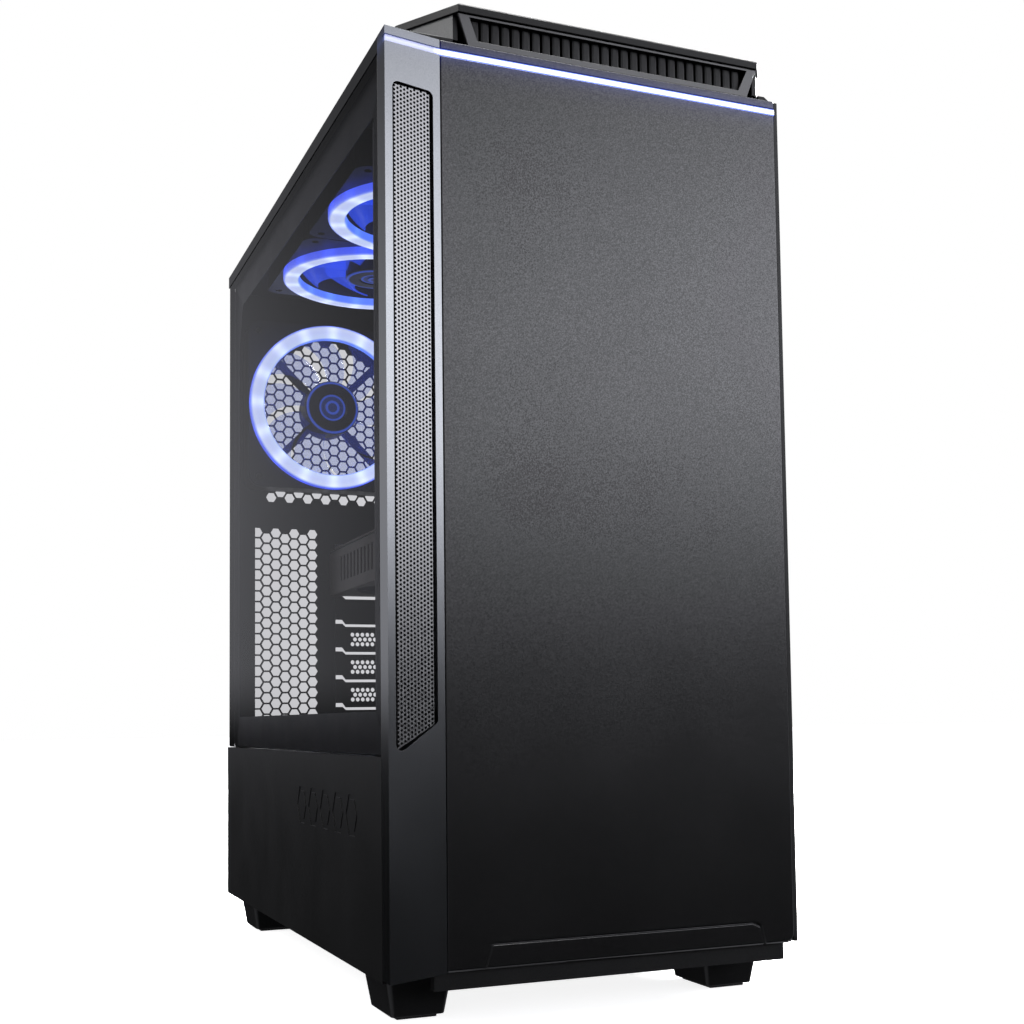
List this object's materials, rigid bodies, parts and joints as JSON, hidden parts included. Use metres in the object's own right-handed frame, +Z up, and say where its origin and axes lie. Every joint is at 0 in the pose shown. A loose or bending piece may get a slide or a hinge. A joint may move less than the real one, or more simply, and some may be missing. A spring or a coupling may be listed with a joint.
{
  "type": "desktop computer tower",
  "caption": "Mid-size desktop computer tower with a glass left side, a raised vented lid, a lit bar across the front, lit fans and its full set of inner parts.",
  "frame": {"origin": "centre of the footprint, on the surface that the feet stand on", "axes": "+X to the tower's right, -Y out of its front, +Z up; the glass side faces -X"},
  "size_m": [0.215, 0.412, 0.483],
  "materials": {
    "black_steel": "satin",
    "inner_steel": "satin",
    "black_plastic": "matte",
    "front_plastic": "fine texture",
    "strip_plastic": "satin",
    "mesh_metal": "satin",
    "light_bar": "lit diffuser",
    "light_ring": "lit diffuser",
    "fan_frame": "matte",
    "fan_blade": "smoked clear",
    "glass": "tinted",
    "print": "printed",
    "rubber": "matte",
    "board": "satin",
    "connector": "satin",
    "heatsink": "satin",
    "card_plastic": "satin",
    "bare_steel": "satin",
    "filter": "fine net",
    "drive_metal": "satin",
    "switch_plastic": "gloss",
    "cable": "sleeved"
  },
  "bodies": {
    "chassis": {"bottom_pan": "black_steel", "rear_panel": "black_steel", "roof_panel": "inner_steel", "front_frame": "inner_steel", "motherboard_tray": "inner_steel", "rubber_grommets": "rubber", "power_supply_cover": "inner_steel", "drive_cage": "inner_steel", "feet": "black_plastic", "roof_deck": "black_steel", "rear_fan_frame": "fan_frame", "rear_fan_light_ring": "light_ring", "roof_fan_frames": "fan_frame", "roof_fan_light_rings": "light_ring", "motherboard": "board", "board_connectors": "connector", "memory_modules": "heatsink", "board_heatsinks": "heatsink", "processor_heatsink": "heatsink", "processor_fan_frame": "fan_frame", "rear_ports": "bare_steel", "slot_covers": "black_steel", "graphics_board": "board", "graphics_shroud": "card_plastic", "graphics_bracket": "bare_steel", "power_supply_case": "black_steel", "power_supply_board": "board", "mains_inlet": "connector", "board_power_cable": "cable", "solid_state_drive": "drive_metal"},
    "lid": {"lid_plate": "black_steel", "lid_skirt": "black_plastic", "lid_vent_frame": "strip_plastic", "roof_filter": "filter"},
    "front_bezel": {"front_panel": "front_plastic", "bezel_side_strip": "strip_plastic", "intake_mesh": "mesh_metal", "led_light_bar": "light_bar", "bezel_frame": "black_plastic", "front_filter": "filter", "front_io_board": "board", "front_sockets": "bare_steel"},
    "power_button": {"power_button": "switch_plastic"},
    "reset_button": {"reset_button": "switch_plastic"},
    "glass_side": {"glass_panel": "glass", "glass_border": "print", "glass_bracket": "black_steel"},
    "lower_side": {"lower_side_panel": "black_steel"},
    "right_side": {"right_side_panel": "black_steel"},
    "rear_fan": {"rear_fan_rotor": "fan_blade"},
    "roof_fan_front": {"roof_fan_front_rotor": "fan_blade"},
    "roof_fan_rear": {"roof_fan_rear_rotor": "fan_blade"},
    "processor_fan": {"processor_fan_rotor": "fan_blade"},
    "card_fan_front": {"graphics_fan_front": "fan_blade"},
    "card_fan_rear": {"graphics_fan_rear": "fan_blade"},
    "supply_fan": {"power_supply_rotor": "fan_blade"},
    "rocker": {"rocker_switch": "switch_plastic"},
    "filter_tray": {"supply_filter": "filter"},
    "sled": {"drive_sled": "black_plastic", "hard_drive": "drive_metal"}
  },
  "joints": [
    {"name": "bezel_pull", "type": "slide", "parent": "chassis", "child": "front_bezel", "axis": [0, -1, 0], "range_m": [0, 0.06]},
    {"name": "lid_lift", "type": "slide", "parent": "chassis", "child": "lid", "axis": [0, 0, 1], "range_m": [0, 0.06]},
    {"name": "glass_pull", "type": "slide", "parent": "chassis", "child": "glass_side", "axis": [-1, 0, 0], "range_m": [0, 0.12]},
    {"name": "lower_panel_pull", "type": "slide", "parent": "chassis", "child": "lower_side", "axis": [-1, 0, 0], "range_m": [0, 0.12]},
    {"name": "right_panel_pull", "type": "slide", "parent": "chassis", "child": "right_side", "axis": [1, 0, 0], "range_m": [0, 0.14]},
    {"name": "sled_slide", "type": "slide", "parent": "chassis", "child": "sled", "axis": [1, 0, 0], "range_m": [0, 0.12]},
    {"name": "filter_slide", "type": "slide", "parent": "chassis", "child": "filter_tray", "axis": [0, 1, 0], "range_m": [0, 0.13]},
    {"name": "power_button_press", "type": "slide", "parent": "front_bezel", "child": "power_button", "axis": [-1, 0, 0], "range_m": [0, 0.0015], "stiffness_N_per_m": 600},
    {"name": "reset_button_press", "type": "slide", "parent": "front_bezel", "child": "reset_button", "axis": [-1, 0, 0], "range_m": [0, 0.0015], "stiffness_N_per_m": 400},
    {"name": "rocker_turn", "type": "hinge", "parent": "chassis", "child": "rocker", "pos_m": [0.044, 0.2002, 0.09], "axis": [-1, 0, 0], "range_deg": [0, 18]},
    {"name": "rear_fan_spin", "type": "hinge", "parent": "chassis", "child": "rear_fan", "pos_m": [-0.0374, 0.19, 0.3674], "axis": [0, 1, 0], "continuous": true},
    {"name": "roof_fan_front_spin", "type": "hinge", "parent": "chassis", "child": "roof_fan_front", "pos_m": [-0.0362, -0.0558, 0.44], "axis": [0, 0, 1], "continuous": true},
    {"name": "roof_fan_rear_spin", "type": "hinge", "parent": "chassis", "child": "roof_fan_rear", "pos_m": [-0.0362, 0.0646, 0.44], "axis": [0, 0, 1], "continuous": true},
    {"name": "processor_fan_spin", "type": "hinge", "parent": "chassis", "child": "processor_fan", "pos_m": [0.03, 0.112, 0.357], "axis": [1, 0, 0], "continuous": true},
    {"name": "card_fan_front_spin", "type": "hinge", "parent": "chassis", "child": "card_fan_front", "pos_m": [0.013, 0.03, 0.24], "axis": [0, 0, 1], "continuous": true},
    {"name": "card_fan_rear_spin", "type": "hinge", "parent": "chassis", "child": "card_fan_rear", "pos_m": [0.013, 0.136, 0.24], "axis": [0, 0, 1], "continuous": true},
    {"name": "supply_fan_spin", "type": "hinge", "parent": "chassis", "child": "supply_fan", "pos_m": [0.005, 0.1296, 0.036], "axis": [0, 0, 1], "continuous": true}
  ],
  "couplings": [
    {"joint": "sled_slide", "follows": "right_panel_pull", "ratio": 0.857}
  ]
}
